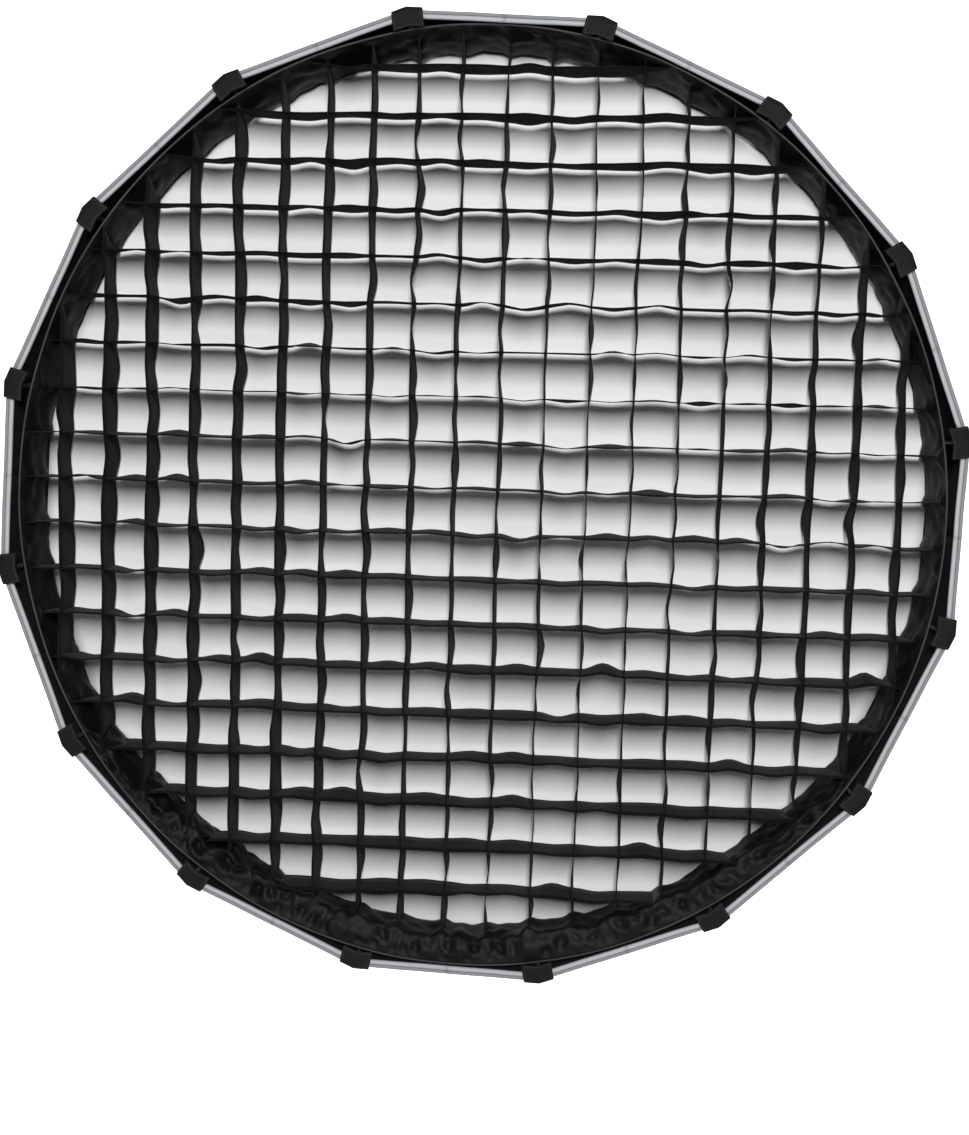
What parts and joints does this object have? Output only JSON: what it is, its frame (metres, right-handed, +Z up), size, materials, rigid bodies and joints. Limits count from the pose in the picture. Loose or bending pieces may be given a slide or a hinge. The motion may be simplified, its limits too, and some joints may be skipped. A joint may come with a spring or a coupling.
{
  "type": "softbox with fabric grid",
  "caption": "Deep many-sided studio softbox on hinged rods, with a bayonet ring, white front cloth and an egg-crate fabric grid.",
  "frame": {"origin": "centre of the mount plane, the rear face of the bayonet ring's flange", "axes": "+Y along the softbox's axis, back towards the light; the front faces -Y; +Z up; +X to the right as seen from the front"},
  "size_m": [0.8896, 0.569, 0.8896],
  "materials": {
    "mount_metal": "machined, satin",
    "hub_plastic": "moulded, fine grain",
    "spreader_plastic": "moulded, smooth",
    "steel": "bright",
    "rod_fibre": "pultruded glass fibre, semi-gloss",
    "shell_cloth": "black woven nylon",
    "lining_cloth": "silver coated, pebbled",
    "rim_tape": "pale woven tape",
    "collar_cloth": "black elastic weave",
    "diffuser_cloth": "white translucent weave",
    "grid_cloth": "black woven nylon, sewn"
  },
  "bodies": {
    "mount": {"bayonet_mount": "mount_metal", "retaining_ring": "mount_metal"},
    "hub": {"hub_body": "hub_plastic", "hub_cover": "hub_plastic", "hinge_pins": "steel", "hub_screws": "steel", "detent_clips": "steel", "rear_collar": "collar_cloth"},
    "spreader": {"spreader_ring": "spreader_plastic"},
    "rib_01": {"rod_01": "rod_fibre", "knuckle_01": "hub_plastic", "shell_panel_01": "shell_cloth"},
    "rib_02": {"rod_02": "rod_fibre", "knuckle_02": "hub_plastic", "shell_panel_02": "shell_cloth"},
    "rib_03": {"rod_03": "rod_fibre", "knuckle_03": "hub_plastic", "shell_panel_03": "shell_cloth"},
    "rib_04": {"rod_04": "rod_fibre", "knuckle_04": "hub_plastic", "shell_panel_04": "shell_cloth"},
    "rib_05": {"rod_05": "rod_fibre", "knuckle_05": "hub_plastic", "shell_panel_05": "shell_cloth"},
    "rib_06": {"rod_06": "rod_fibre", "knuckle_06": "hub_plastic", "shell_panel_06": "shell_cloth"},
    "rib_07": {"rod_07": "rod_fibre", "knuckle_07": "hub_plastic", "shell_panel_07": "shell_cloth"},
    "rib_08": {"rod_08": "rod_fibre", "knuckle_08": "hub_plastic", "shell_panel_08": "shell_cloth"},
    "rib_09": {"rod_09": "rod_fibre", "knuckle_09": "hub_plastic", "shell_panel_09": "shell_cloth"},
    "rib_10": {"rod_10": "rod_fibre", "knuckle_10": "hub_plastic", "shell_panel_10": "shell_cloth"},
    "rib_11": {"rod_11": "rod_fibre", "knuckle_11": "hub_plastic", "shell_panel_11": "shell_cloth"},
    "rib_12": {"rod_12": "rod_fibre", "knuckle_12": "hub_plastic", "shell_panel_12": "shell_cloth"},
    "rib_13": {"rod_13": "rod_fibre", "knuckle_13": "hub_plastic", "shell_panel_13": "shell_cloth"},
    "rib_14": {"rod_14": "rod_fibre", "knuckle_14": "hub_plastic", "shell_panel_14": "shell_cloth"},
    "rib_15": {"rod_15": "rod_fibre", "knuckle_15": "hub_plastic", "shell_panel_15": "shell_cloth"},
    "rib_16": {"rod_16": "rod_fibre", "knuckle_16": "hub_plastic", "shell_panel_16": "shell_cloth"},
    "front": {"front_diffuser": "diffuser_cloth"},
    "grid": {"grid_strips": "grid_cloth", "grid_hem": "grid_cloth"}
  },
  "joints": [
    {"name": "ring_turn", "type": "hinge", "parent": "mount", "child": "hub", "pos_m": [0, 0, 0], "axis": [0, 1, 0], "continuous": true},
    {"name": "rod_fold_01", "type": "hinge", "parent": "hub", "child": "rib_01", "pos_m": [-0.01522, -0.02, 0.0765], "axis": [0.9808, 0, 0.1951], "range_deg": [0, 30], "deforming": ["shell_panel_01", "shell_panel_02", "shell_panel_03", "shell_panel_04", "shell_panel_05", "shell_panel_06", "shell_panel_07", "shell_panel_08", "shell_panel_09", "shell_panel_10", "shell_panel_11", "shell_panel_12", "shell_panel_13", "shell_panel_14", "shell_panel_15", "shell_panel_16", "detent_clips", "front_diffuser", "grid_strips", "grid_hem"]},
    {"name": "rod_fold_02", "type": "hinge", "parent": "hub", "child": "rib_02", "pos_m": [0.01522, -0.02, 0.0765], "axis": [0.9808, 0, -0.1951], "range_deg": [0, 30]},
    {"name": "rod_fold_03", "type": "hinge", "parent": "hub", "child": "rib_03", "pos_m": [0.04333, -0.02, 0.06485], "axis": [0.8315, 0, -0.5556], "range_deg": [0, 30]},
    {"name": "rod_fold_04", "type": "hinge", "parent": "hub", "child": "rib_04", "pos_m": [0.06485, -0.02, 0.04333], "axis": [0.5556, 0, -0.8315], "range_deg": [0, 30]},
    {"name": "rod_fold_05", "type": "hinge", "parent": "hub", "child": "rib_05", "pos_m": [0.0765, -0.02, 0.01522], "axis": [0.1951, 0, -0.9808], "range_deg": [0, 30]},
    {"name": "rod_fold_06", "type": "hinge", "parent": "hub", "child": "rib_06", "pos_m": [0.0765, -0.02, -0.01522], "axis": [-0.1951, 0, -0.9808], "range_deg": [0, 30]},
    {"name": "rod_fold_07", "type": "hinge", "parent": "hub", "child": "rib_07", "pos_m": [0.06485, -0.02, -0.04333], "axis": [-0.5556, 0, -0.8315], "range_deg": [0, 30]},
    {"name": "rod_fold_08", "type": "hinge", "parent": "hub", "child": "rib_08", "pos_m": [0.04333, -0.02, -0.06485], "axis": [-0.8315, 0, -0.5556], "range_deg": [0, 30]},
    {"name": "rod_fold_09", "type": "hinge", "parent": "hub", "child": "rib_09", "pos_m": [0.01522, -0.02, -0.0765], "axis": [-0.9808, 0, -0.1951], "range_deg": [0, 30]},
    {"name": "rod_fold_10", "type": "hinge", "parent": "hub", "child": "rib_10", "pos_m": [-0.01522, -0.02, -0.0765], "axis": [-0.9808, 0, 0.1951], "range_deg": [0, 30]},
    {"name": "rod_fold_11", "type": "hinge", "parent": "hub", "child": "rib_11", "pos_m": [-0.04333, -0.02, -0.06485], "axis": [-0.8315, 0, 0.5556], "range_deg": [0, 30]},
    {"name": "rod_fold_12", "type": "hinge", "parent": "hub", "child": "rib_12", "pos_m": [-0.06485, -0.02, -0.04333], "axis": [-0.5556, 0, 0.8315], "range_deg": [0, 30]},
    {"name": "rod_fold_13", "type": "hinge", "parent": "hub", "child": "rib_13", "pos_m": [-0.0765, -0.02, -0.01522], "axis": [-0.1951, 0, 0.9808], "range_deg": [0, 30]},
    {"name": "rod_fold_14", "type": "hinge", "parent": "hub", "child": "rib_14", "pos_m": [-0.0765, -0.02, 0.01522], "axis": [0.1951, 0, 0.9808], "range_deg": [0, 30]},
    {"name": "rod_fold_15", "type": "hinge", "parent": "hub", "child": "rib_15", "pos_m": [-0.06485, -0.02, 0.04333], "axis": [0.5556, 0, 0.8315], "range_deg": [0, 30]},
    {"name": "rod_fold_16", "type": "hinge", "parent": "hub", "child": "rib_16", "pos_m": [-0.04333, -0.02, 0.06485], "axis": [0.8315, 0, 0.5556], "range_deg": [0, 30]},
    {"name": "spreader_slide", "type": "slide", "parent": "hub", "child": "spreader", "axis": [0, 1, 0], "range_m": [0, 0.00984]},
    {"name": "front_off", "type": "slide", "parent": "hub", "child": "front", "axis": [0, -1, 0], "range_m": [0, 0.2]},
    {"name": "grid_off", "type": "slide", "parent": "front", "child": "grid", "axis": [0, -1, 0], "range_m": [0, 0.12]}
  ],
  "couplings": [
    {"joint": "rod_fold_02", "follows": "rod_fold_01", "ratio": 1},
    {"joint": "rod_fold_03", "follows": "rod_fold_01", "ratio": 1},
    {"joint": "rod_fold_04", "follows": "rod_fold_01", "ratio": 1},
    {"joint": "rod_fold_05", "follows": "rod_fold_01", "ratio": 1},
    {"joint": "rod_fold_06", "follows": "rod_fold_01", "ratio": 1},
    {"joint": "rod_fold_07", "follows": "rod_fold_01", "ratio": 1},
    {"joint": "rod_fold_08", "follows": "rod_fold_01", "ratio": 1},
    {"joint": "rod_fold_09", "follows": "rod_fold_01", "ratio": 1},
    {"joint": "rod_fold_10", "follows": "rod_fold_01", "ratio": 1},
    {"joint": "rod_fold_11", "follows": "rod_fold_01", "ratio": 1},
    {"joint": "rod_fold_12", "follows": "rod_fold_01", "ratio": 1},
    {"joint": "rod_fold_13", "follows": "rod_fold_01", "ratio": 1},
    {"joint": "rod_fold_14", "follows": "rod_fold_01", "ratio": 1},
    {"joint": "rod_fold_15", "follows": "rod_fold_01", "ratio": 1},
    {"joint": "rod_fold_16", "follows": "rod_fold_01", "ratio": 1},
    {"joint": "spreader_slide", "follows": "rod_fold_01", "m_per_rad": 0.018784},
    {"joint": "front_off", "follows": "rod_fold_01", "m_per_rad": 0.3819}
  ]
}
